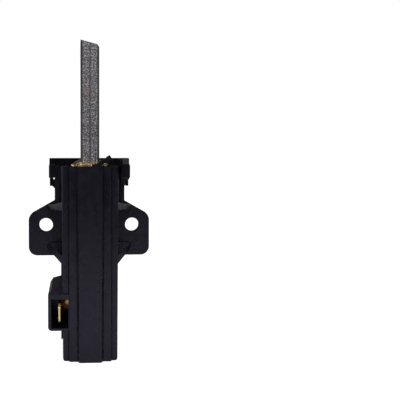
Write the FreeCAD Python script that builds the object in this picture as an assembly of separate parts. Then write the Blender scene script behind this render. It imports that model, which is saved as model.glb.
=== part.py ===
import FreeCAD, Part
import math
import os

# A sprung carbon brush in its moulded holder, in millimetres.
# X runs across the front, Y from the front face to the mounting side, Z up along the carbon.
# Sizes are taken from the front of the centre rib (Y = 0) and from the foot (Z = 0). The finished
# pieces are then moved so that the origin lies midway between the screw holes, on the mounting face.

# Points nearer than this count as one, and cutting shapes reach this far past what they cut
near = 1e-4
cut_margin = 1.0

# Carbon block
carbon_width = 5.0
carbon_depth = 12.5
carbon_length = 38.0
carbon_reach = 34.0
carbon_front = 2.8
bond_thickness = 0.12
face_slope = 14.8
low_edge_bevel = 0.5
low_edge_angle = 58.0
carbon_end_bevel = 0.45
carbon_edge_bevel = 0.5

# Spring and connecting wire
plug_radius = 1.2
plug_length = 4.0
plug_clearance = 0.02
shunt_radius = 0.6
shunt_bow = 0.5
spring_wire_radius = 0.22
spring_outer_radius = 2.35
spring_turns = 11
spring_closed_pitch = 0.5
spring_steps_per_turn = 18
spring_wire_sides = 6
spring_end_gap = 0.05

# Brass guide sleeve
sheet = 0.4
guide_clearance = 0.05
sleeve_foot = 11.0
sleeve_rear_drop = 0.9
seam_x = -0.9
seam_gap = 0.12

# Rolled lip at the sleeve's mouth: its crest stands over the rim and it turns out and down.
# A front tip is a half width and a distance from the sleeve's front, a side tip a half width and a
# share of the lip's length.
lip_rise = 1.35
lip_shoulder_drop = 0.15
lip_tip_drop = 0.8
lip_thickness = 0.38
lip_tilt = 0.04
lip_overlap = 0.1
lip_rear_margin = 1.7
lip_shoulder_share = 0.45
lip_front_tips = [(2.7, -2.0), (4.4, -1.25)]
lip_side_tips = [(5.1, 0.05), (4.75, 0.46), (3.8, 0.78), (3.05, 1.0)]
lip_relief = (0.35, 4.5)
lip_relief_rear = 1.05

# Tube of the holder
holder_height = 52.4
holder_rear_room = 3.5
top_width = 15.2
foot_taper = 0.5
rib_width_top = 6.5
rib_width_foot = 5.9
shelf_width = 11.2
rib_step = 1.06
shelf_step = 0.8
rib_flank = 0.6
shelf_flank = 0.35
tube_corner_radius = 0.35
foot_bevel = 0.25
foot_corner_width = 0.7
foot_corner_height = 0.8
foot_corner_share = 0.3
sleeve_seat_clearance = 0.05
mouth_depth = 3.4
mouth_half_width = 5.9
mouth_front_wall = 1.45
mouth_side_front = 3.0
mouth_rear_margin = 0.8
mouth_front_half_width = 3.6
sump_depth = 1.0

# Neck behind the mouth
neck_shoulder = 2.1
neck_front = 9.0
neck_drop = 10.0
neck_groove_width = 1.0
neck_groove_depth = 0.7
catch_rise = 1.8
catch_drop = 0.9
catch_depth = 2.4
catch_reach = 0.85
part_overlap = 0.5

# Ears, holes and gusset ribs
ear_end_margin = 5.0
ear_thickness = 2.0
ear_drop = 16.2
ear_slope = 29.4
ear_upper_radius = 2.75
ear_lower_radius = 2.5
ear_web_margin = 0.5
ear_web_drop = 2.5
ear_web_reach = 2.1
hole_spacing = 25.0
hole_rise = 8.85
hole_radius = 2.0
hole_bevel = 0.2
gusset_hole_margin = 0.35
gusset_front = 4.0

# Heights of the ribs' lower and upper faces over the ears' lower edge
upper_gusset_rear = (13.5, 14.65)
upper_gusset_front = (14.3, 16.5)
lower_gusset_rear = (2.1, 3.7)
lower_gusset_front = (-0.3, 1.9)

# Back strip and locating pegs
strip_margin = 0.85
strip_thickness = 1.0
strip_bottom = 1.2
strip_top = 23.6
strip_end_slope = 0.8
peg_reach = 4.0
peg_tip_radius = 0.35
upper_peg_radius = 0.9
upper_peg_rise = 1.9
lower_peg_radius = 1.0
lower_peg_drop = 1.1

# Terminal socket: the room round the blade, its walls and the points of its roof over the walls
socket_room_below = 2.1
socket_room_above = 0.9
socket_room_outside = 2.2
socket_room_inside = 2.4
socket_floor_wall = 0.6
socket_lintel = 1.3
socket_wall = 0.85
socket_roof = [(0.8, 1.2), (2.9, 1.75)]
socket_roof_rise = 2.1
socket_hip = 2.0
socket_front = 1.24
socket_rear_margin = 0.2
socket_frame_depth = 2.0
socket_frame_overlap = 0.25
socket_corner_radius = 1.0
socket_depth = 14.0

# Terminal blade
blade_width = 4.8
blade_thickness = 0.5
blade_reach = 0.3
blade_height = 13.6
blade_margin = 0.65
blade_length = 9.0
blade_tip_bevel = 0.7
strap_inset = 0.7
strap_width = 2.6
weld_length = 4.0
terminal_clearance = 0.05
dimple_radius = 0.6
dimple_rise = 0.22
dimple_from_tip = 2.6

# Retainer clip
clip_side_wall = 1.55
clip_rise = 2.05
clip_wall = 0.8
clip_bar_depth = 1.9
clip_leg_thickness = 0.9
clip_leg_drop = 5.9
clip_leg_depth = 3.6
clip_side_drop = 3.25
clip_flange_reach = 0.85
clip_flange_depth = 0.9
clip_shoulder_depth = 6.4
clip_shoulder_rise = 0.6
clip_clearance = 0.05
arm_reach = 1.3
arm_width = 1.7
arm_window_rear = 1.3
arm_window_slope = 1.0
arm_window_front = -0.85
hook_front = -3.25
hook_drop = 3.2
hook_bevel_top = -1.0
hook_bevel_drop = 1.25
hook_round = 0.6
prong_half_width = 2.4
prong_reach = 4.1
prong_height = 2.4
prong_tip_drop = 0.3
prong_tip_bevel = 0.1
prong_overlap = 0.3
prong_slope_reach = 3.0
prong_side_bevel = 0.9

# Slanted finger at the mouth
finger_thickness = 1.1
finger_root_x = 0.95
finger_root_drop = 0.15
finger_tip_x = 5.5
finger_tip_rise = 2.6
finger_front = 0.05
finger_depth = 0.9
finger_sunk = 0.9
paddle_inner = 4.4
paddle_rear = 4.4

# Sizes that follow from the ones above: carbon and sleeve
carbon_middle = carbon_front + carbon_depth / 2
carbon_top = holder_height + carbon_reach
carbon_foot = carbon_top - carbon_length
channel_half_x = carbon_width / 2 + guide_clearance
channel_half_y = carbon_depth / 2 + guide_clearance
sleeve_half_x = channel_half_x + sheet
sleeve_half_y = channel_half_y + sheet
sleeve_front = carbon_middle - sleeve_half_y
sleeve_rear = carbon_middle + sleeve_half_y
sleeve_rear_top = holder_height - sleeve_rear_drop
lip_crest = holder_height + lip_rise
lip_length = carbon_depth - lip_rear_margin
spring_seat = sleeve_foot + sheet

# Holder
holder_depth = carbon_front + carbon_depth + holder_rear_room
shelf_front = rib_step + shelf_step
foot_width = top_width - foot_taper
strip_half_width = foot_width / 2 + strip_margin
neck_half_width = top_width / 2 + neck_shoulder
neck_bottom = holder_height - neck_drop
ear_half_width = hole_spacing / 2 + ear_end_margin
ear_web_half_width = neck_half_width + ear_web_margin
ear_bottom = neck_bottom - ear_drop
ear_front = holder_depth - ear_thickness
gusset_reach = hole_spacing / 2 - gusset_hole_margin
hole_height = ear_bottom + hole_rise
upper_peg_height = neck_bottom + upper_peg_rise
lower_peg_height = ear_bottom - lower_peg_drop
finger_root = (finger_root_x, holder_height - finger_root_drop)
finger_tip = (finger_tip_x, holder_height + finger_tip_rise)

# Socket
blade_centre = top_width / 2 + blade_margin
blade_low = blade_height - blade_width / 2
blade_high = blade_height + blade_width / 2
socket_room_x = (-blade_centre - socket_room_outside, -blade_centre + socket_room_inside)
socket_room_z = (blade_low - socket_room_below, blade_high + socket_room_above)
socket_side = socket_room_x[0] - socket_wall
socket_bottom = socket_room_z[0] - socket_floor_wall
socket_shoulder = socket_room_z[1] + socket_lintel
socket_top = socket_shoulder + socket_roof_rise
socket_rear = holder_depth - socket_rear_margin

# Clip
clip_half_width = neck_half_width + clip_clearance + clip_side_wall
clip_flange_inner = neck_half_width - clip_flange_reach
arm_inner = neck_half_width - arm_reach
arm_outer = arm_inner + arm_width
clip_top = holder_height + clip_rise
clip_rear_front = holder_depth - clip_wall
clip_leg_bottom = holder_height - clip_leg_drop
clip_leg_front = holder_depth - clip_leg_depth
clip_side_bottom = holder_height - clip_side_drop
clip_shoulder_front = holder_depth - clip_shoulder_depth
clip_shoulder_top = holder_height + clip_shoulder_rise

origin = FreeCAD.Vector(0, holder_depth, hole_height)


def vector(x, y, z):
    return FreeCAD.Vector(x, y, z)


def block(x_range, y_range, z_range):
    size = [high - low for low, high in (x_range, y_range, z_range)]
    return Part.makeBox(*size, vector(x_range[0], y_range[0], z_range[0]))


def flat_face(points):
    return Part.Face(Part.makePolygon(points + points[:1]))


def prism(points, depth):
    """A closed outline of 3-D points pushed along the vector depth."""
    return flat_face(points).extrude(depth)


def prism_along_x(outline, x_range):
    points = [vector(x_range[0], y, z) for y, z in outline]
    return prism(points, vector(x_range[1] - x_range[0], 0, 0))


def prism_along_y(outline, y_range):
    points = [vector(x, y_range[0], z) for x, z in outline]
    return prism(points, vector(0, y_range[1] - y_range[0], 0))


def prism_along_z(outline, z_range):
    points = [vector(x, y, z_range[0]) for x, y in outline]
    return prism(points, vector(0, 0, z_range[1] - z_range[0]))


def mirrored(shape):
    return shape.mirror(vector(0, 0, 0), vector(1, 0, 0))


def both_sides(shape):
    return [shape, mirrored(shape)]


def joined(shapes):
    return shapes[0].fuse(shapes[1:]).removeSplitter()


def edges_where(shape, test):
    """The straight edges of a shape for which test(start, end) is true."""
    found = []
    for edge in shape.Edges:
        if len(edge.Vertexes) == 2 and test(edge.Vertexes[0].Point, edge.Vertexes[1].Point):
            found.append(edge)
    return found


def upright_at(x, z):
    """True for edges that run along Y at the given X and Z."""
    def test(start, end):
        return all(abs(p.x - x) < near and abs(p.z - z) < near for p in (start, end))
    return test


# Carbon block

def carbon_section(z_range):
    """The block's section with its four long edges bevelled."""
    half = carbon_width / 2
    front, rear = carbon_front, carbon_front + carbon_depth
    bevel = carbon_edge_bevel
    right = [(half - bevel, front), (half, front + bevel), (half, rear - bevel), (half - bevel, rear)]
    return prism_along_z(right + [(-x, y) for x, y in reversed(right)], z_range)


def carbon_blank():
    """The whole block, with the sloped contact face and its small bevel on the low side."""
    half = carbon_width / 2
    bevel_x = half - low_edge_bevel
    slope_drop = math.tan(math.radians(face_slope)) * (bevel_x + half)
    bevel_drop = math.tan(math.radians(low_edge_angle)) * low_edge_bevel
    bevel_z = carbon_top - slope_drop
    side = [(-half, carbon_foot), (half, carbon_foot), (half, bevel_z - bevel_drop)]
    side += [(bevel_x, bevel_z), (-half, carbon_top)]
    y_range = (carbon_front, carbon_front + carbon_depth)
    blank = prism_along_y(side, y_range)
    rising = [
        edge for edge in blank.Edges
        if min(v.Point.z for v in edge.Vertexes) > bevel_z - bevel_drop - near
        and abs(edge.Vertexes[0].Point.y - edge.Vertexes[1].Point.y) < near
        and edge.Vertexes[0].Point.distanceToPoint(edge.Vertexes[1].Point) > 2 * low_edge_bevel
    ]
    blank = blank.makeChamfer(carbon_end_bevel, rising)
    return blank.common(carbon_section((carbon_foot - cut_margin, carbon_top + cut_margin)))


def plug_hole(radius):
    return Part.makeCylinder(radius, plug_length, vector(0, carbon_middle, carbon_foot))


def carbon_layer(x_range):
    slab = block(x_range, (0, holder_depth), (carbon_foot - cut_margin, carbon_top + cut_margin))
    return carbon_blank().common(slab).cut(plug_hole(plug_radius))


def carbon_left_half():
    return carbon_layer((-carbon_width / 2, -bond_thickness / 2))


def carbon_right_half():
    return carbon_layer((bond_thickness / 2, carbon_width / 2))


def bond_layer():
    return carbon_layer((-bond_thickness / 2, bond_thickness / 2))


def shunt_plug():
    return plug_hole(plug_radius - plug_clearance)


# Wire and spring behind the carbon

def shunt_wire():
    """A wire that bows gently one way and then the other between sleeve foot and carbon."""
    bottom = sleeve_foot - sheet
    middle = (bottom + carbon_foot) / 2
    quarter = (middle - bottom) / 2
    start = vector(0, carbon_middle, bottom)
    turn = vector(0, carbon_middle, middle)
    finish = vector(0, carbon_middle, carbon_foot)
    lower = Part.Arc(start, vector(shunt_bow, carbon_middle, bottom + quarter), turn)
    upper = Part.Arc(turn, vector(-shunt_bow, carbon_middle, middle + quarter), finish)
    path = Part.Wire([lower.toShape(), upper.toShape()])
    direction = lower.toShape().tangentAt(lower.FirstParameter)
    section = Part.Wire([Part.makeCircle(shunt_radius, start, direction)])
    wire = path.makePipeShell([section], True, True)
    span = block((-sleeve_half_x, sleeve_half_x), (0, holder_depth), (bottom, carbon_foot))
    return wire.common(span)


def coil_rise(turns_done, height):
    """How far the coil has climbed. Its first and last turns are closed, the others are evenly open."""
    open_pitch = (height - 2 * spring_closed_pitch) / (spring_turns - 2)
    if turns_done < 1:
        return turns_done * spring_closed_pitch
    if turns_done > spring_turns - 1:
        return height - (spring_turns - turns_done) * spring_closed_pitch
    return spring_closed_pitch + (turns_done - 1) * open_pitch


def pressure_spring():
    """A coil with closed ends between the sleeve's folded foot and the carbon."""
    radius = spring_outer_radius - spring_wire_radius
    low = spring_seat + spring_end_gap + spring_wire_radius
    high = carbon_foot - spring_end_gap - spring_wire_radius
    angles = [2 * math.pi * side / spring_wire_sides for side in range(spring_wire_sides)]
    rings = []
    for step in range(spring_turns * spring_steps_per_turn + 1):
        turns_done = step / spring_steps_per_turn
        turn = 2 * math.pi * turns_done
        level = low + coil_rise(turns_done, high - low)
        ring = []
        for angle in angles:
            reach = radius + spring_wire_radius * math.cos(angle)
            height = level + spring_wire_radius * math.sin(angle)
            ring.append(vector(reach * math.cos(turn), carbon_middle + reach * math.sin(turn), height))
        rings.append(ring)
    faces = [flat_face(rings[0]), flat_face(rings[-1])]
    for ring, after in zip(rings, rings[1:]):
        for side in range(spring_wire_sides):
            beside = (side + 1) % spring_wire_sides
            faces.append(flat_face([ring[side], ring[beside], after[beside]]))
            faces.append(flat_face([ring[side], after[beside], after[side]]))
    shell = Part.makeShell(faces)
    shell.sewShape()
    return Part.Solid(shell)


# Brass guide sleeve

def lip_ring(share, drop):
    """The lip's outline between its crest (share 0) and its tip (share 1), as a closed wire."""
    tips = lip_front_tips + [(reach, part * lip_length) for reach, part in lip_side_tips]
    left = []
    for reach, step in tips:
        start_x = min(reach, sleeve_half_x)
        start_y = max(step, 0)
        x = start_x + share * (reach - start_x)
        y = start_y + share * (step - start_y)
        left.append(vector(-x, sleeve_front + y, lip_crest - drop + lip_tilt * y))
    right = [vector(-p.x, p.y, p.z) for p in reversed(left)]
    return Part.makePolygon(left + right + left[:1])


def rolled_lip():
    """Sheet rolled outward over the front and the two sides of the mouth, open at the rear."""
    shares = [1, lip_shoulder_share, 0]
    drops = [lip_tip_drop, lip_shoulder_drop, 0]
    above = [lip_ring(share, drop) for share, drop in zip(shares, drops)]
    below = [lip_ring(share, drop + lip_thickness) for share, drop in zip(shares, drops)]
    skin = Part.makeLoft(below[:1] + above, True, True)
    return skin.cut(Part.makeLoft(below, True, True))


def guide_sleeve():
    """Sheet folded to a box round the carbon, closed at its foot by two tabs."""
    top = lip_crest + lip_tilt * lip_length
    x_range = (-sleeve_half_x, sleeve_half_x)
    tube = block(x_range, (sleeve_front, sleeve_rear), (sleeve_foot, top))
    lip_end = sleeve_front + lip_length
    trim = [
        (sleeve_front, lip_crest - lip_overlap),
        (lip_end, top - lip_overlap),
        (lip_end, sleeve_rear_top),
        (sleeve_rear, sleeve_rear_top),
        (sleeve_rear, top + sheet),
        (sleeve_front, top + sheet),
    ]
    tube = tube.cut(prism_along_x(trim, x_range))
    body = joined([tube, rolled_lip()])
    x_range = (-channel_half_x, channel_half_x)
    y_range = (carbon_middle - channel_half_y, carbon_middle + channel_half_y)
    channel = block(x_range, y_range, (spring_seat, top + sheet))
    gap = shunt_radius + plug_clearance
    foot_gap = block((-sleeve_half_x, sleeve_half_x), (carbon_middle - gap, carbon_middle + gap),
                     (sleeve_foot, spring_seat))
    seam_y = (0, sleeve_front + sheet)
    seam = block((seam_x - seam_gap / 2, seam_x + seam_gap / 2), seam_y, (spring_seat, top))
    relief = block(lip_relief, (0, lip_relief_rear), (holder_height, top))
    for room in (channel, foot_gap, seam, relief):
        body = body.cut(room)
    return body


# Terminal blade with its strap

def terminal_blade():
    outer = -blade_centre - blade_thickness / 2
    tip = -blade_reach
    fold = tip + blade_length
    bevel = blade_tip_bevel
    side = [(fold, blade_low), (tip + bevel, blade_low), (tip, blade_low + bevel)]
    side += [(tip, blade_high - bevel), (tip + bevel, blade_high), (fold, blade_high)]
    blade = prism_along_x(side, (outer, outer + blade_thickness))
    strap_z = (blade_high - strap_inset - strap_width, blade_high - strap_inset)
    strap_y = (fold - blade_thickness, fold)
    strap = block((outer, -sleeve_half_x), strap_y, strap_z)
    weld_x = (-sleeve_half_x - blade_thickness, -sleeve_half_x)
    weld_tab = block(weld_x, (strap_y[0], fold + weld_length), strap_z)
    ball_radius = (dimple_radius ** 2 + dimple_rise ** 2) / (2 * dimple_rise)
    ball_x = outer + blade_thickness + dimple_rise - ball_radius
    ball = Part.makeSphere(ball_radius, vector(ball_x, tip + dimple_from_tip, blade_height))
    beside = (outer + blade_thickness / 2, -sleeve_half_x)
    dimple = ball.common(block(beside, (tip, fold), (blade_low, blade_high)))
    return joined([blade, strap, weld_tab, dimple])


def terminal_room():
    """The slot and the pocket that the strap and its welded end lie in."""
    gap = terminal_clearance
    fold = blade_length - blade_reach
    high = blade_high - strap_inset + gap
    low = high - strap_width - 2 * gap
    slot_y = (fold - blade_thickness - gap, fold + gap)
    slot = block((socket_room_x[1] - gap, -sleeve_half_x), slot_y, (low, high))
    pocket_x = (-sleeve_half_x - blade_thickness - gap, -sleeve_half_x)
    pocket = block(pocket_x, (slot_y[0], fold + weld_length + gap), (low, high))
    return slot.fuse(pocket)


# Moulded holder

def tube_outline(z, width, rib_width):
    """The terraced section of the tube at one height, as a closed wire."""
    half = width / 2
    radius = tube_corner_radius
    arc_middle = radius * (1 - math.sqrt(0.5))
    right = [
        (rib_width / 2, 0),
        (rib_width / 2 + rib_flank, rib_step),
        (shelf_width / 2, rib_step),
        (shelf_width / 2 + shelf_flank, shelf_front),
        (half - radius, shelf_front),
    ]
    corner = [(half - arc_middle, shelf_front + arc_middle), (half, shelf_front + radius)]
    rear = (half, holder_depth)

    def at(point, side):
        return vector(side * point[0], point[1], z)

    edges = []
    for side in (1, -1):
        for start, end in zip(right, right[1:]):
            edges.append(Part.makeLine(at(start, side), at(end, side)))
        edges.append(Part.Arc(at(right[-1], side), at(corner[0], side), at(corner[1], side)).toShape())
        edges.append(Part.makeLine(at(corner[1], side), at(rear, side)))
    edges.append(Part.makeLine(at(rear, 1), at(rear, -1)))
    edges.append(Part.makeLine(at(right[0], 1), at(right[0], -1)))
    return Part.Wire(Part.__sortEdges__(edges))


def tube():
    foot = tube_outline(0, foot_width, rib_width_foot)
    rim = tube_outline(holder_height, top_width, rib_width_top)
    body = Part.makeLoft([foot, rim], True, True)
    body = body.makeChamfer(foot_bevel, [e for e in body.Edges if e.BoundBox.ZMax < near])
    corner = foot_corner()
    return body.cut([corner, mirrored(corner)])


def foot_corner():
    """What the rounding takes off one lower corner of the tube, in two steps of slope."""
    side = foot_width / 2
    inner = side - foot_corner_width
    outer = side + cut_margin
    middle = (side - foot_corner_share * foot_corner_width, foot_corner_share * foot_corner_height)
    outline = [(inner, 0), middle, (side, foot_corner_height), (outer, foot_corner_height)]
    outline += [(outer, -cut_margin), (inner, -cut_margin)]
    return prism_along_y(outline, (-cut_margin, holder_depth + cut_margin))


def neck():
    """The wider shoulder behind the mouth, grooved next to the tube on its front face."""
    x_range = (-neck_half_width, neck_half_width)
    body = block(x_range, (neck_front, holder_depth), (neck_bottom, holder_height))
    groove_x = (foot_width / 2, top_width / 2 + neck_groove_width)
    groove_y = (neck_front, neck_front + neck_groove_depth)
    groove = block(groove_x, groove_y, (neck_bottom, holder_height))
    flange_x = (clip_flange_inner - clip_clearance, neck_half_width)
    flange_y = (neck_front, neck_front + clip_flange_depth + clip_clearance)
    flange_room = block(flange_x, flange_y, (clip_side_bottom - clip_clearance, holder_height))
    return body.cut([groove, mirrored(groove), flange_room, mirrored(flange_room)])


def clip_room():
    """The recess across the back that the clip's rear wall lies in, flush with the mounting face."""
    y_range = (clip_rear_front - clip_clearance, holder_depth)
    z_range = (clip_leg_bottom - clip_clearance, holder_height)
    return block((-neck_half_width, neck_half_width), y_range, z_range)


def clip_catch():
    """The wedge on the left of the neck that fills the deep leg's inner side and reaches under it."""
    outer = -neck_half_width
    leg_inner = clip_leg_thickness - clip_half_width + clip_clearance
    level = clip_leg_bottom - clip_clearance
    top = clip_leg_bottom + catch_rise
    side = [(outer, top), (leg_inner, top), (leg_inner, level)]
    side += [(outer - catch_reach, level), (outer, clip_leg_bottom - catch_drop)]
    return prism_along_y(side, (clip_leg_front, clip_leg_front + catch_depth))


def ear_plate():
    """One plate across the back, with sloped shoulders and rounded ends."""
    rise = math.tan(math.radians(ear_slope)) * (ear_half_width - neck_half_width)
    right = [
        (neck_half_width, neck_bottom),
        (ear_half_width, neck_bottom - rise),
        (ear_half_width, ear_bottom),
        (ear_web_half_width, ear_bottom),
        (ear_web_half_width - ear_web_reach, ear_bottom - ear_web_drop),
    ]
    outline = right + [(-x, z) for x, z in reversed(right)]
    plate = prism_along_y(outline, (ear_front, holder_depth))
    corners = ((ear_upper_radius, neck_bottom - rise), (ear_lower_radius, ear_bottom))
    for radius, level in corners:
        for side in (1, -1):
            plate = plate.makeFillet(radius, edges_where(plate, upright_at(side * ear_half_width, level)))
    for side in (1, -1):
        centre = vector(side * hole_spacing / 2, ear_front, hole_height)
        plate = plate.cut(Part.makeCylinder(hole_radius, ear_thickness, centre, vector(0, 1, 0)))
        rim = Part.makeCone(hole_radius + hole_bevel, hole_radius, hole_bevel, centre, vector(0, 1, 0))
        plate = plate.cut(rim)
    return plate


def gusset(rear, front):
    """A rib on the right that ties an ear to the tube. It thickens and turns away to the front."""
    y_range = (gusset_front, ear_front + part_overlap)
    run = y_range[0] - ear_front
    overrun = (y_range[1] - ear_front) / run
    front_low, front_high = [ear_bottom + f for f in front]
    rear_low, rear_high = [ear_bottom + r + (f - r) * overrun for r, f in zip(rear, front)]
    side = [(y_range[0], front_low), (y_range[0], front_high)]
    side += [(y_range[1], rear_high), (y_range[1], rear_low)]
    inner = foot_width / 2 - part_overlap
    slab = prism_along_x(side, (inner, gusset_reach))
    tube_side = top_width / 2
    corner = [(tube_side, gusset_front), (gusset_reach, ear_front), (gusset_reach, y_range[1])]
    corner += [(inner, y_range[1]), (inner, gusset_front)]
    return slab.common(prism_along_z(corner, (ear_bottom - ear_web_drop, holder_height)))


def peg(radius, height):
    centre = vector(0, holder_depth - part_overlap, height)
    pin = Part.makeCylinder(radius, peg_reach + part_overlap, centre, vector(0, 1, 0))
    tip_y = holder_depth + peg_reach
    rim = [e for e in pin.Edges if e.Closed and abs(e.CenterOfMass.y - tip_y) < near]
    return pin.makeFillet(peg_tip_radius, rim)


def back_strip():
    side = [
        (holder_depth - part_overlap, strip_bottom),
        (holder_depth + strip_thickness, strip_bottom + strip_end_slope),
        (holder_depth + strip_thickness, strip_top - strip_end_slope),
        (holder_depth - part_overlap, strip_top),
    ]
    return prism_along_x(side, (-strip_half_width, strip_half_width))


def socket_shell():
    """The box on the left side with its sloping roof, and the frame round its mouth."""
    inner = -foot_width / 2 + part_overlap
    roof = [(socket_side + x, socket_shoulder + z) for x, z in socket_roof]
    outline = [(inner, socket_bottom), (socket_side, socket_bottom), (socket_side, socket_shoulder)]
    outline += roof + [(inner, socket_top)]
    shell = prism_along_y(outline, (socket_front, socket_rear))
    corner = edges_where(shell, upright_at(socket_side, socket_bottom))
    shell = shell.makeFillet(socket_corner_radius, corner)
    hip = [(socket_front, socket_shoulder), (socket_front + socket_hip, socket_top)]
    hip += [(socket_front, socket_top)]
    shell = shell.cut(prism_along_x(hip, (socket_side, inner)))
    frame_x = (inner, socket_room_x[1] + socket_frame_overlap)
    frame_y = (socket_front, socket_front + socket_frame_depth)
    frame = block(frame_x, frame_y, (socket_bottom, socket_shoulder))
    return [shell, frame]


def socket_room():
    return block(socket_room_x, (0, socket_front + socket_depth), socket_room_z)


def finger():
    """The slanted finger: a thin bar on the front wall, ending in a deeper paddle beside the carbon."""
    run = finger_tip[0] - finger_root[0]
    rise = finger_tip[1] - finger_root[1]
    length = math.hypot(run, rise)
    across = (-rise / length * finger_thickness / 2, run / length * finger_thickness / 2)
    ends = []
    for x, z in (finger_root, finger_tip):
        ends.append(((x + across[0], z + across[1]), (x - across[0], z - across[1])))
    outline = [ends[0][0], ends[1][0], ends[1][1], ends[0][1]]
    y_range = (finger_front, finger_front + finger_depth)
    bar = prism_along_y(outline, y_range)
    paddle = prism_along_y(outline, (finger_front, paddle_rear))
    paddle_x = (paddle_inner, finger_tip[0] + finger_thickness)
    paddle = paddle.common(block(paddle_x, (0, holder_depth), (0, carbon_top)))
    root_x = (finger_root[0] - finger_thickness / 2, finger_root[0] + finger_thickness / 2)
    root = block(root_x, y_range, (finger_root[1] - finger_sunk, finger_root[1]))
    return [bar, paddle, root]


def mouth_room():
    """The pocket round the sleeve's lips, the sleeve's seat below it and the sump under its foot."""
    pocket_z = (holder_height - mouth_depth, holder_height + cut_margin)
    rear = clip_rear_front - mouth_rear_margin
    wide = block((-mouth_half_width, mouth_half_width), (mouth_side_front, rear), pocket_z)
    half = mouth_front_half_width
    front = block((-half, half), (mouth_front_wall, mouth_side_front), pocket_z)
    gap = sleeve_seat_clearance
    x_range = (-sleeve_half_x - gap, sleeve_half_x + gap)
    y_range = (carbon_middle - sleeve_half_y - gap, carbon_middle + sleeve_half_y + gap)
    seat = block(x_range, y_range, (sleeve_foot, holder_height))
    sump_y = (carbon_middle - 2 * shunt_radius, carbon_middle + 2 * shunt_radius)
    sump = block(x_range, sump_y, (sleeve_foot - sump_depth, sleeve_foot))
    return wide.fuse([front, seat, sump])


def holder_housing():
    pieces = [tube(), neck(), ear_plate(), back_strip()] + socket_shell()
    pieces += both_sides(gusset(upper_gusset_rear, upper_gusset_front))
    pieces += both_sides(gusset(lower_gusset_rear, lower_gusset_front))
    pieces += [peg(upper_peg_radius, upper_peg_height), peg(lower_peg_radius, lower_peg_height)]
    body = joined(pieces)
    for room in (mouth_room(), socket_room(), terminal_room(), clip_room()):
        body = body.cut(room)
    return joined([body, clip_catch()] + finger())


# Retainer clip

def clip_arm():
    """The arm on the right: over the rim, through to the front, and down in a hook."""
    hook_bottom = holder_height - hook_drop
    side = [
        (clip_shoulder_front, clip_top),
        (hook_bevel_top, clip_top),
        (hook_front, clip_top - hook_bevel_drop),
        (hook_front, hook_bottom),
        (arm_window_front, hook_bottom),
        (arm_window_front, clip_shoulder_top),
        (arm_window_rear, clip_shoulder_top),
        (arm_window_rear + arm_window_slope, clip_side_bottom),
        (clip_shoulder_front, clip_side_bottom),
    ]
    arm = prism_along_x(side, (arm_inner, arm_outer))
    room_x = (arm_inner, neck_half_width + clip_clearance)
    room_y = (neck_front - clip_clearance, clip_shoulder_front)
    beside_neck = block(room_x, room_y, (clip_side_bottom, holder_height + clip_clearance))
    arm = arm.cut(beside_neck)

    def lower_edge(start, end):
        return all(abs(p.y - hook_front) < near and abs(p.z - hook_bottom) < near for p in (start, end))

    return arm.makeFillet(hook_round, edges_where(arm, lower_edge))


def clip_side():
    """The right side wall, its lowered shoulder and flange in front and its deep leg behind."""
    inner = neck_half_width + clip_clearance
    top_front = holder_height + clip_clearance
    side = [
        (holder_depth, clip_side_bottom),
        (holder_depth, clip_top),
        (clip_shoulder_front, clip_top),
        (clip_shoulder_front, clip_shoulder_top),
        (neck_front, top_front),
        (neck_front, clip_side_bottom),
    ]
    wall = prism_along_x(side, (inner, clip_half_width))
    leg_x = (clip_half_width - clip_leg_thickness, clip_half_width)
    leg = block(leg_x, (clip_leg_front, holder_depth), (clip_leg_bottom, clip_side_bottom))
    flange_y = (neck_front, neck_front + clip_flange_depth)
    flange = block((clip_flange_inner, clip_half_width), flange_y, (clip_side_bottom, top_front))
    return [wall, leg, flange]


def clip_prong():
    """The barb on the rear wall, flat on top and narrowing underneath."""
    tip = holder_depth + prong_reach
    prong_top = holder_height
    prong_bottom = prong_top - prong_height
    side = [
        (holder_depth - prong_overlap, prong_top),
        (tip - prong_tip_bevel, prong_top),
        (tip, prong_top - prong_tip_drop),
        (holder_depth + prong_slope_reach, prong_bottom),
        (holder_depth - prong_overlap, prong_bottom),
    ]
    prong = prism_along_x(side, (-prong_half_width, prong_half_width))
    crease = (prong_top + prong_bottom) / 2
    narrow = prong_half_width - prong_side_bevel
    front = [(-prong_half_width, prong_top), (prong_half_width, prong_top), (prong_half_width, crease)]
    front += [(narrow, prong_bottom), (-narrow, prong_bottom), (-prong_half_width, crease)]
    return prong.common(prism_along_y(front, (holder_depth - prong_overlap, tip)))


def retainer_clip():
    x_range = (-clip_half_width, clip_half_width)
    skirt = block(x_range, (clip_rear_front, holder_depth), (clip_side_bottom, clip_top))
    bar_y = (clip_rear_front + clip_wall - clip_bar_depth, holder_depth)
    bar = block(x_range, bar_y, (holder_height + clip_clearance, clip_top))
    sides = clip_side()
    pieces = [skirt, bar] + sides + [mirrored(s) for s in sides]
    return joined(pieces + [clip_arm(), clip_prong()])


sub_parts = {
    "holder_housing": holder_housing,
    "retainer_clip": retainer_clip,
    "guide_sleeve": guide_sleeve,
    "terminal_blade": terminal_blade,
    "carbon_left_half": carbon_left_half,
    "carbon_right_half": carbon_right_half,
    "bond_layer": bond_layer,
    "shunt_plug": shunt_plug,
    "shunt_wire": shunt_wire,
    "pressure_spring": pressure_spring,
}

os.makedirs("parts", exist_ok=True)
for name, build in sub_parts.items():
    shape = build()
    shape.translate(-origin)
    shape.exportStep("parts/" + name + ".step")
    print(name, len(shape.Solids), "solid", round(shape.Volume, 2), "mm3", "valid", shape.isValid())
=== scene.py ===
import math

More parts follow.
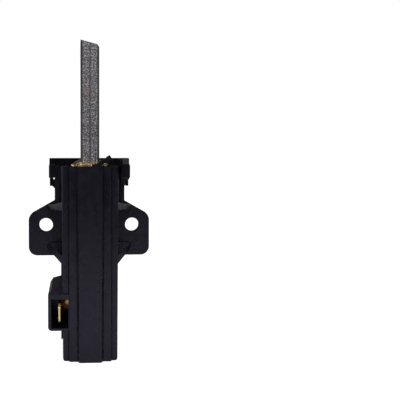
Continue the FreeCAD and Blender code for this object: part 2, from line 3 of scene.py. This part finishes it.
import bpy
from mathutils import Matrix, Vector


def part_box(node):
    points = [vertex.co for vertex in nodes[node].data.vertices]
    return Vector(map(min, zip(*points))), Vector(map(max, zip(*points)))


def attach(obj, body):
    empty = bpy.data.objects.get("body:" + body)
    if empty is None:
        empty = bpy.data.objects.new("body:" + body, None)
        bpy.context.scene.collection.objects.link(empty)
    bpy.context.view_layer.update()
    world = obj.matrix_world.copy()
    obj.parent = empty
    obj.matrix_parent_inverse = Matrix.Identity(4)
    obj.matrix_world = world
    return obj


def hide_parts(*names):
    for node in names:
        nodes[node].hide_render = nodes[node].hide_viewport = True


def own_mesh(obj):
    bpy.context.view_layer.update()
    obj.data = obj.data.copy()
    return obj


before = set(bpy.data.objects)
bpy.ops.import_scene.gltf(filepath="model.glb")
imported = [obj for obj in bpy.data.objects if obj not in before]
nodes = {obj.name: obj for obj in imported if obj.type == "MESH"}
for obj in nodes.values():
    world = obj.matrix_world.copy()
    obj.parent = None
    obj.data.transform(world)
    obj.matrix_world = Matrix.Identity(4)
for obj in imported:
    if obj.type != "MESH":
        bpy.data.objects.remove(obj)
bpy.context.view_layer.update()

# The picture, in its own pixels
PICTURE = 400.0
FOCAL = 643.9
AXIS_PIXEL = (110.3, 167.0)

# Camera, in metres from the holder's middle, front and foot
EYE_LEFT = 0.00362
EYE_DISTANCE = 0.170
EYE_HEIGHT = 0.05773
YAW = math.radians(3.0)
PITCH = math.radians(1.8)
SENSOR = 36.0

# Roundings of moulded, pressed and folded edges, and the corners in degrees that get one
MOULD_ROUND = 0.00013
CARBON_ROUND = 0.00010
SHEET_ROUND = 0.00016
SLEEVE_ROUND = 0.00012
CORNER = 32.0
SLEEVE_CORNER = 8.0
ROUND_SEGMENTS = 2
MERGE_GAP = 1e-6

WHITE = (1.0, 1.0, 1.0)

# Black mouldings, with how much they shine
HOLDER_DARK = (0.0015, 0.0014, 0.003)
HOLDER_LIGHT = (0.0052, 0.0047, 0.0086)
HOLDER_GLOSS = 0.375
CLIP_DARK = (0.0016, 0.0017, 0.0024)
CLIP_LIGHT = (0.0045, 0.0047, 0.0062)
CLIP_GLOSS = 0.22
BLUISH_SHINE = (0.82, 0.78, 1.0)

# Carbon: the grain of its narrow faces, the hatching of its wide ones, and a painted shade for its
# bevels that also darkens it next to the dark bond
CARBON_PIT = (0.03, 0.029, 0.032)
CARBON_GREY = (0.135, 0.13, 0.139)
CARBON_FLECK = (0.54, 0.52, 0.545)
GROUND_LINE = (0.6, 0.6, 0.61)
COPPER_TINT = (0.25, 0.15, 0.1)
HATCH_DARK = (0.13, 0.13, 0.132)
HATCH_LIGHT = (0.34, 0.338, 0.342)
BEVEL_SHADE_AND_DARK_BOND = (0.042, 0.041, 0.043)

# Brass, with painted shade on the blade's end deep in the socket, one painted highlight spot there,
# and painted shade on the blade's side faces
SLEEVE_DULL = (0.55, 0.37, 0.17)
SLEEVE_BRIGHT = (1.0, 0.78, 0.42)
BLADE_DULL = (0.75, 0.5, 0.2)
BLADE_BRIGHT = (0.93, 0.68, 0.32)
SOCKET_SHADE_DARK = (0.01, 0.003, 0.001)
SOCKET_SHADE_LIGHT = (0.06, 0.022, 0.008)
BLADE_SIDE_SHADE = (0.11, 0.075, 0.035)
BLADE_LENGTH = 0.0085
SOCKET_SHADE_RUN = 0.0025
HIGHLIGHT_ACROSS = 0.0023
HIGHLIGHT_BELOW = 0.0014
HIGHLIGHT_CORE = 0.0001
HIGHLIGHT_REACH = 0.0008

# Copper, spring steel and the resin of the bond
COPPER_DARK = (0.55, 0.25, 0.13)
COPPER_LIGHT = (0.85, 0.45, 0.27)
COPPER_ROUGHNESS = 0.3
STEEL_DARK = (0.42, 0.42, 0.44)
STEEL_LIGHT = (0.6, 0.6, 0.62)
STEEL_ROUGHNESS = 0.25
RESIN_DARK = (0.008, 0.008, 0.008)
RESIN_LIGHT = (0.03, 0.03, 0.032)
BOND_CORE = 0.0001
BOND_REACH = 0.0003

# Spring and wire inside the sleeve
SPRING_WIRE_RADIUS = 0.00022
SPRING_TURNS = 11
CLOSED_PITCH = 0.0005
SPRING_STEPS = 40
SPRING_SIDES = 12
STRAND_COUNT = 6
STRAND_TURNS = 9
STRAND_SHARE = 0.46
STRAND_STEPS = 160
STRAND_SIDES = 7

# Floor to the camera: a glow that reaches full white far away, and a grey that takes the shadow
FLOOR_SIZE = 6.0
FLOOR_NEAR = 0.92
FLOOR_GREY = (0.35, 0.35, 0.35)
HORIZON = 0.6

# Floor to all other light: a white card in front of the object, drawn out sideways and dark beyond
CARD_CENTRE = (0.0, -0.08, 0.0)
CARD_SHAPE = (0.55, 1.0, 1.0)
CARD_INNER = 0.05
CARD_OUTER = 0.19
CARD_BRIGHT = 0.97
CARD_DIM = 0.12

# Strength of the room round it, as a light and in reflections
ROOM = 0.04
MIRRORED_ROOM = 0.05

# Lamps turned to one point of the object: name, place, size and watts
LAMP_TARGET = (0, -0.01, 0.01)
LAMPS = (
    ("front_lamp", (0.03, -0.47, 0.43), (0.16, 0.3), 2.15),
    ("front_left_lamp", (-0.5, -0.44, 0.38), (0.2, 0.2), 1.3),
    ("front_right_lamp", (0.5, -0.44, 0.38), (0.2, 0.2), 1.6),
    ("back_left_lamp", (-0.42, 0.56, 0.12), (0.3, 0.3), 0.4),
    ("back_right_lamp", (0.42, 0.56, 0.12), (0.3, 0.3), 0.4),
    ("top_lamp", (0.02, 0.14, 0.62), (0.25, 0.25), 0.5),
    ("left_lamp", (-0.4, -0.02, 0.0), (0.1, 0.06), 0.15),
    ("right_lamp", (0.4, -0.02, 0.0), (0.1, 0.06), 0.07),
)

holder_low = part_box("holder_housing")[0]
blade_low, blade_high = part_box("terminal_blade")
strap_start = blade_low.y + BLADE_LENGTH
# Where the painted highlight on the blade sits
highlight_spot = (blade_low.x + HIGHLIGHT_ACROSS, strap_start, blade_high.z - HIGHLIGHT_BELOW)


# Nodes of materials and of the world

class Nodes:
    """Short calls for the nodes that the materials, the floor and the world share."""

    def __init__(self, tree):
        self.tree = tree

    def node(self, kind, operation=None):
        node = self.tree.nodes.new(kind)
        if operation is not None:
            node.operation = operation
        return node

    def feed(self, value, socket):
        """Gives a socket another node's output, a colour or a plain value."""
        if isinstance(value, bpy.types.NodeSocket):
            self.tree.links.new(value, socket)
        elif socket.type == "RGBA":
            socket.default_value = (*value, 1.0)
        else:
            socket.default_value = value

    def between(self, value, low, high, start=0.0, end=1.0):
        """A number from low to high as value goes from start to end."""
        remap = self.node("ShaderNodeMapRange")
        self.feed(value, remap.inputs["Value"])
        self.feed(start, remap.inputs["From Min"])
        self.feed(end, remap.inputs["From Max"])
        self.feed(low, remap.inputs["To Min"])
        self.feed(high, remap.inputs["To Max"])
        return remap.outputs["Result"]

    def maths(self, operation, first, second=0.0):
        maths = self.node("ShaderNodeMath", operation)
        self.feed(first, maths.inputs[0])
        self.feed(second, maths.inputs[1])
        return maths.outputs["Value"]

    def distance(self, place, centre):
        measure = self.node("ShaderNodeVectorMath", "DISTANCE")
        self.feed(place, measure.inputs[0])
        self.feed(centre, measure.inputs[1])
        return measure.outputs["Value"]

    def ray(self, kind):
        """1 for light rays of one kind and 0 for all others."""
        return self.node("ShaderNodeLightPath").outputs[kind]

    def seen_directly(self):
        """1 for what the camera sees, also through glass, and 0 for all other light."""
        return self.maths("MAXIMUM", self.ray("Is Camera Ray"), self.ray("Is Transmission Ray"))


class Material(Nodes):
    """A material, with short calls for the nodes that its surface needs."""

    def __init__(self, name):
        self.material = bpy.data.materials.new(name)
        self.material.use_nodes = True
        super().__init__(self.material.node_tree)
        self.shader = self.tree.nodes["Principled BSDF"]
        coordinates = self.node("ShaderNodeTexCoord")
        self.place = coordinates.outputs["Object"]
        self.facing = coordinates.outputs["Normal"]

    def shade(self, socket, value):
        self.feed(value, self.shader.inputs[socket])

    def stretched(self, scale):
        """The place on the object, with its axes scaled."""
        mapping = self.node("ShaderNodeMapping")
        self.feed(self.place, mapping.inputs["Vector"])
        self.feed(scale, mapping.inputs["Scale"])
        return mapping.outputs["Vector"]

    def parts(self, vector):
        """A place's or a direction's X, Y and Z."""
        split = self.node("ShaderNodeSeparateXYZ")
        self.feed(vector, split.inputs["Vector"])
        return split.outputs

    def noise(self, scale, detail=4.0, roughness=0.6, place=None):
        """Clouds of about scale patches a metre, with as many finer layers as detail says."""
        noise = self.node("ShaderNodeTexNoise")
        self.feed(place or self.place, noise.inputs["Vector"])
        self.feed(scale, noise.inputs["Scale"])
        self.feed(detail, noise.inputs["Detail"])
        self.feed(roughness, noise.inputs["Roughness"])
        return noise.outputs["Fac"]

    def ramp(self, value, stops):
        ramp = self.node("ShaderNodeValToRGB")
        elements = ramp.color_ramp.elements
        while len(elements) < len(stops):
            elements.new(0.5)
        for element, (position, colour) in zip(elements, stops):
            element.position = position
            element.color = (*colour, 1.0)
        self.feed(value, ramp.inputs["Fac"])
        return ramp.outputs["Color"]

    def blend(self, factor, first, second, mode="MIX"):
        mix = self.node("ShaderNodeMix")
        mix.data_type = "RGBA"
        mix.blend_type = mode
        self.feed(factor, mix.inputs[0])
        self.feed(first, mix.inputs[6])
        self.feed(second, mix.inputs[7])
        return mix.outputs[2]

    def bump(self, relief, strength, height, before=None):
        """The surface's direction with a relief, on top of another relief if there is one before."""
        bump = self.node("ShaderNodeBump")
        self.feed(relief, bump.inputs["Height"])
        self.feed(strength, bump.inputs["Strength"])
        self.feed(height, bump.inputs["Distance"])
        if before is not None:
            self.feed(before, bump.inputs["Normal"])
        return bump.outputs["Normal"]


def moulded_plastic(name, dark, light, gloss):
    """Satin black moulding: faint clouding, fine spark-eroded grain and long soft flow marks."""
    look = Material(name)
    clouding = look.noise(420.0, 5.0)
    look.shade("Base Color", look.ramp(clouding, [(0.34, dark), (0.66, light)]))
    flow = look.noise(700.0, place=look.stretched((1.0, 1.0, 0.15)))
    look.shade("Roughness", look.between(flow, 0.24, 0.35, 0.3, 0.7))
    look.shade("Specular IOR Level", gloss)
    look.shade("Specular Tint", BLUISH_SHINE)
    waves = look.bump(look.noise(900.0, 3.0), strength=0.5, height=0.00008)
    grain = look.bump(look.noise(5200.0, 3.0), strength=0.3, height=0.00002, before=waves)
    look.shade("Normal", grain)
    return look.material


def narrow_face(look, grey, lines):
    """Pressed grain with grinding lines across it and a few copper tints."""
    ground = look.ramp(lines, [(0.36, GROUND_LINE), (0.62, WHITE)])
    colour = look.blend(1.0, grey, ground, mode="MULTIPLY")
    warm = look.between(look.noise(230.0, 3.0), 0.0, 0.3, 0.58, 0.74)
    return look.blend(warm, colour, COPPER_TINT)


def wide_face(look, grey):
    """The same grain under fine hatching."""
    hatch = look.noise(4600.0, 3.0, place=look.stretched((0.2, 0.2, 1.0)))
    colour = look.ramp(hatch, [(0.36, HATCH_DARK), (0.64, HATCH_LIGHT)])
    return look.blend(0.25, colour, grey)


def with_bevel_shade_and_dark_bond(look, colour):
    """Paints shade on the bevels, and darkens the faces close to the dark bond."""
    facing = look.parts(look.facing)
    slanting = look.maths("ABSOLUTE", look.maths("MULTIPLY", facing["X"], facing["Y"]))
    # Painted shade on the bevels, which slant towards the darker sides
    colour = look.blend(look.between(slanting, 0.0, 0.95, 0.08, 0.3), colour, BEVEL_SHADE_AND_DARK_BOND)
    from_bond = look.maths("ABSOLUTE", look.parts(look.place)["X"])
    return look.blend(look.between(from_bond, 0.6, 0.0, BOND_CORE, BOND_REACH), colour, BEVEL_SHADE_AND_DARK_BOND)


def pressed_carbon():
    """Metal graphite: pressed grain with bright flecks, ground on its faces."""
    look = Material("pressed_carbon")
    grain = look.noise(2500.0, 3.0, 0.75)
    speckle = look.blend(0.3, grain, look.noise(6000.0, 2.0, 0.8))
    grey = look.ramp(speckle, [(0.39, CARBON_PIT), (0.5, CARBON_GREY), (0.61, CARBON_FLECK)])
    lines = look.noise(1900.0, 3.0, place=look.stretched((0.12, 0.12, 1.0)))
    sideways = look.maths("ABSOLUTE", look.parts(look.facing)["X"])
    is_wide = look.between(sideways, 0.0, 1.0, 0.8, 0.95)
    colour = look.blend(is_wide, narrow_face(look, grey, lines), wide_face(look, grey))
    look.shade("Base Color", with_bevel_shade_and_dark_bond(look, colour))
    look.shade("Roughness", look.between(grain, 0.4, 0.6, 0.3, 0.7))
    look.shade("Metallic", 0.6)
    look.shade("Specular IOR Level", 0.4)
    pits = look.bump(speckle, strength=0.8, height=0.00006)
    look.shade("Normal", look.bump(lines, strength=0.3, height=0.00003, before=pits))
    return look.material


def socket_shade_and_highlight(look, colour):
    """Paints shade on the blade towards its strap, deep in the socket, but for one painted highlight
    spot, and paints shade on its side faces.
    """
    # Painted shade, deepening towards the strap's end in the socket
    socket_shade = look.between(look.parts(look.place)["Y"], 0.0, 1.0, strap_start - SOCKET_SHADE_RUN, strap_start)
    shade_tone = look.ramp(look.noise(700.0, 2.0), [(0.42, SOCKET_SHADE_DARK), (0.66, SOCKET_SHADE_LIGHT)])
    colour = look.blend(socket_shade, colour, shade_tone)
    # Painted highlight: one bright spot near the strap
    highlight = look.between(look.distance(look.place, highlight_spot), 0.55, 0.0, HIGHLIGHT_CORE, HIGHLIGHT_REACH)
    colour = look.blend(highlight, colour, BLADE_BRIGHT)
    # Painted shade on the blade's side faces
    sideways = look.maths("ABSOLUTE", look.parts(look.facing)["X"])
    return look.blend(look.between(sideways, 0.0, 0.85, 0.25, 0.6), colour, BLADE_SIDE_SHADE)


def rolled_brass(name, dull, bright, painted_light=None):
    """Brass strip: tarnish, rolling lines and small dents, and painted light and shade if it is
    given some.
    """
    look = Material(name)
    tarnish = look.noise(420.0, 6.0, 0.65)
    colour = look.ramp(tarnish, [(0.35, dull), (0.62, bright)])
    # Painted light and shade, where given
    if painted_light is not None:
        colour = painted_light(look, colour)
    look.shade("Base Color", colour)
    look.shade("Metallic", 1.0)
    lines = look.noise(3000.0, 2.0, 0.5, look.stretched((1.0, 1.0, 0.05)))
    look.shade("Roughness", look.between(lines, 0.16, 0.32, 0.3, 0.7))
    dents = look.bump(look.noise(650.0, 2.0), strength=0.5, height=0.00014)
    look.shade("Normal", look.bump(lines, strength=0.12, height=0.00002, before=dents))
    return look.material


def drawn_metal(name, dark, light, roughness):
    """Bare metal with a clouded colour, an uneven gloss and a fine grain."""
    look = Material(name)
    clouding = look.noise(1500.0)
    look.shade("Base Color", look.ramp(clouding, [(0.35, dark), (0.65, light)]))
    look.shade("Metallic", 1.0)
    wear = look.noise(2400.0, 2.0)
    look.shade("Roughness", look.between(wear, roughness, roughness + 0.15))
    grain = look.noise(4200.0, 2.0)
    look.shade("Normal", look.bump(grain, strength=0.15, height=0.00002))
    return look.material


def bond_resin():
    """Dark resin with a fine grain."""
    look = Material("bond_resin")
    clouding = look.noise(2600.0, 3.0)
    look.shade("Base Color", look.ramp(clouding, [(0.3, RESIN_DARK), (0.7, RESIN_LIGHT)]))
    look.shade("Roughness", 0.7)
    grain = look.noise(5200.0, 3.0)
    look.shade("Normal", look.bump(grain, strength=0.4, height=0.00003))
    return look.material


# Finish of the carried-over nodes

def round_edges(node, width, corner):
    """Small true roundings on a node's sharp edges."""
    weld = node.modifiers.new("weld", "WELD")
    weld.merge_threshold = MERGE_GAP
    bevel = node.modifiers.new("round", "BEVEL")
    bevel.width = width
    bevel.segments = ROUND_SEGMENTS
    bevel.limit_method = "ANGLE"
    bevel.angle_limit = math.radians(corner)


def dress(name, material, width=None, corner=CORNER):
    node = nodes[name]
    node.data.materials.clear()
    node.data.materials.append(material)
    if width:
        round_edges(node, width, corner)


# Spring and wire inside the sleeve

def mesh_piece(name, points, faces, material):
    mesh = bpy.data.meshes.new(name)
    mesh.from_pydata([tuple(point) for point in points], [], faces)
    mesh.validate()
    mesh.materials.append(material)
    for polygon in mesh.polygons:
        polygon.use_smooth = True
    piece = bpy.data.objects.new(name, mesh)
    bpy.context.scene.collection.objects.link(piece)
    return piece


def tube_along(line, radius, sides, first_index=0):
    """Rings round the points of a line, and the faces that join them and close the ends."""
    points = []
    faces = []
    side_way = Vector((1, 0, 0))
    for ring, point in enumerate(line):
        ahead = (line[min(ring + 1, len(line) - 1)] - line[max(ring - 1, 0)]).normalized()
        side_way = (side_way - ahead * side_way.dot(ahead)).normalized()
        up_way = ahead.cross(side_way)
        for side in range(sides):
            angle = 2 * math.pi * side / sides
            points.append(point + radius * (math.cos(angle) * side_way + math.sin(angle) * up_way))
    for ring in range(len(line) - 1):
        for side in range(sides):
            corner = first_index + ring * sides + side
            beside = first_index + ring * sides + (side + 1) % sides
            faces.append((corner, beside, beside + sides, corner + sides))
    last = first_index + (len(line) - 1) * sides
    faces.append(tuple(reversed(range(first_index, first_index + sides))))
    faces.append(tuple(range(last, last + sides)))
    return points, faces


def coil_spring(material):
    """Round wire, with a closed turn at each end and open ones between."""
    low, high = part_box("pressure_spring")
    centre = (low + high) / 2
    radius = (high.x - low.x) / 2 - SPRING_WIRE_RADIUS
    bottom = low.z + SPRING_WIRE_RADIUS
    top = high.z - SPRING_WIRE_RADIUS
    open_pitch = (top - bottom - 2 * CLOSED_PITCH) / (SPRING_TURNS - 2)
    line = []
    for step in range(SPRING_TURNS * SPRING_STEPS + 1):
        done = step / SPRING_STEPS
        if done < 1:
            height = bottom + done * CLOSED_PITCH
        elif done > SPRING_TURNS - 1:
            height = top - (SPRING_TURNS - done) * CLOSED_PITCH
        else:
            height = bottom + CLOSED_PITCH + (done - 1) * open_pitch
        angle = 2 * math.pi * done
        x = centre.x + radius * math.cos(angle)
        y = centre.y + radius * math.sin(angle)
        line.append(Vector((x, y, height)))
    points, faces = tube_along(line, SPRING_WIRE_RADIUS, SPRING_SIDES)
    return mesh_piece("coil_spring", points, faces, material)


def stranded_wire(material):
    """Thin strands laid round the wire's line, which bows one way and then the other."""
    low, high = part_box("shunt_wire")
    centre = (low + high) / 2
    wire = (high.y - low.y) / 2
    bow = (high.x - low.x) / 2 - wire
    strand = wire * STRAND_SHARE
    points = []
    faces = []
    for strand_index in range(STRAND_COUNT):
        line = []
        for step in range(STRAND_STEPS + 1):
            share = step / STRAND_STEPS
            angle = 2 * math.pi * (share * STRAND_TURNS + strand_index / STRAND_COUNT)
            bowed = bow * math.sin(2 * math.pi * share)
            x = centre.x + bowed + (wire - strand) * math.cos(angle)
            y = centre.y + (wire - strand) * math.sin(angle)
            line.append(Vector((x, y, low.z + share * (high.z - low.z))))
        more_points, more_faces = tube_along(line, strand, STRAND_SIDES, len(points))
        points += more_points
        faces += more_faces
    return mesh_piece("stranded_wire", points, faces, material)


# Stage, light and camera

def make_floor():
    """White with the shadow of the object to the camera, and a white card to all other light."""
    bpy.ops.mesh.primitive_plane_add(size=FLOOR_SIZE, location=(0, 0, holder_low.z))
    floor = bpy.context.object
    floor.name = "floor"
    look = Material("floor")
    look.tree.nodes.remove(look.shader)
    away = look.distance(look.stretched(CARD_SHAPE), CARD_CENTRE)
    card = look.between(away, CARD_BRIGHT, CARD_DIM, CARD_INNER, CARD_OUTER)
    lit = look.node("ShaderNodeBsdfDiffuse")
    look.feed(card, lit.inputs["Color"])
    nearly_white = look.between(away, FLOOR_NEAR, 1.0, CARD_INNER, HORIZON)
    glow = look.node("ShaderNodeEmission")
    look.feed(nearly_white, glow.inputs["Strength"])
    shadow = look.node("ShaderNodeBsdfDiffuse")
    look.feed(FLOOR_GREY, shadow.inputs["Color"])
    shown = look.node("ShaderNodeAddShader")
    look.feed(glow.outputs["Emission"], shown.inputs[0])
    look.feed(shadow.outputs["BSDF"], shown.inputs[1])
    choose = look.node("ShaderNodeMixShader")
    look.feed(look.seen_directly(), choose.inputs[0])
    look.feed(lit.outputs["BSDF"], choose.inputs[1])
    look.feed(shown.outputs["Shader"], choose.inputs[2])
    look.feed(choose.outputs["Shader"], look.tree.nodes["Material Output"].inputs["Surface"])
    floor.data.materials.append(look.material)


def make_world():
    """White to the camera, a dim room to all other light and a little more in reflections."""
    world = bpy.data.worlds.new("studio")
    bpy.context.scene.world = world
    world.use_nodes = True
    backdrop = Nodes(world.node_tree)
    background = backdrop.tree.nodes["Background"]
    backdrop.feed(WHITE, background.inputs["Color"])
    room = backdrop.between(backdrop.ray("Is Glossy Ray"), ROOM, MIRRORED_ROOM)
    strength = backdrop.maths("MAXIMUM", backdrop.seen_directly(), room)
    backdrop.feed(strength, background.inputs["Strength"])


def soft_lamp(name, place, size, power):
    lamp = bpy.data.lights.new(name, "AREA")
    lamp.shape = "RECTANGLE"
    lamp.size, lamp.size_y = size
    lamp.energy = power
    stand = bpy.data.objects.new(name, lamp)
    stand.location = place
    aim = Vector(LAMP_TARGET) - Vector(place)
    stand.rotation_euler = aim.to_track_quat("-Z", "Y").to_euler()
    bpy.context.scene.collection.objects.link(stand)


def make_camera():
    """Stands in front of the holder, a little left of its middle and just above its rim."""
    data = bpy.data.cameras.new("camera")
    data.sensor_width = SENSOR
    data.lens = FOCAL / PICTURE * SENSOR
    data.shift_x = 0.5 - AXIS_PIXEL[0] / PICTURE
    data.shift_y = AXIS_PIXEL[1] / PICTURE - 0.5
    camera = bpy.data.objects.new("camera", data)
    camera.location = (-EYE_LEFT, holder_low.y - EYE_DISTANCE, holder_low.z + EYE_HEIGHT)
    camera.rotation_euler = (math.pi / 2 - PITCH, 0, -YAW)
    bpy.context.scene.collection.objects.link(camera)
    bpy.context.scene.camera = camera


bpy.context.scene.view_settings.view_transform = "Standard"
make_floor()
make_world()
for name, place, size, power in LAMPS:
    soft_lamp(name, place, size, power)
make_camera()

holder_plastic = moulded_plastic("holder_plastic", HOLDER_DARK, HOLDER_LIGHT, HOLDER_GLOSS)
clip_plastic = moulded_plastic("clip_plastic", CLIP_DARK, CLIP_LIGHT, CLIP_GLOSS)
carbon = pressed_carbon()
sleeve_brass = rolled_brass("sleeve_brass", SLEEVE_DULL, SLEEVE_BRIGHT)
# The blade gets painted shade and a painted highlight
blade_brass = rolled_brass("blade_brass", BLADE_DULL, BLADE_BRIGHT, socket_shade_and_highlight)
copper = drawn_metal("copper_strands", COPPER_DARK, COPPER_LIGHT, COPPER_ROUGHNESS)
steel = drawn_metal("spring_steel", STEEL_DARK, STEEL_LIGHT, STEEL_ROUGHNESS)

dress("holder_housing", holder_plastic, MOULD_ROUND)
dress("retainer_clip", clip_plastic, MOULD_ROUND)
dress("guide_sleeve", sleeve_brass, SLEEVE_ROUND, SLEEVE_CORNER)
dress("terminal_blade", blade_brass, SHEET_ROUND)
dress("carbon_left_half", carbon, CARBON_ROUND)
dress("carbon_right_half", carbon, CARBON_ROUND)
dress("bond_layer", bond_resin())
dress("shunt_plug", copper)

spring = coil_spring(steel)
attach(spring, "holder")
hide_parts("pressure_spring")
wire = stranded_wire(copper)
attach(wire, "holder")
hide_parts("shunt_wire")

for piece, node in ((spring, "pressure_spring"), (wire, "shunt_wire")):
    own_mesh(piece)
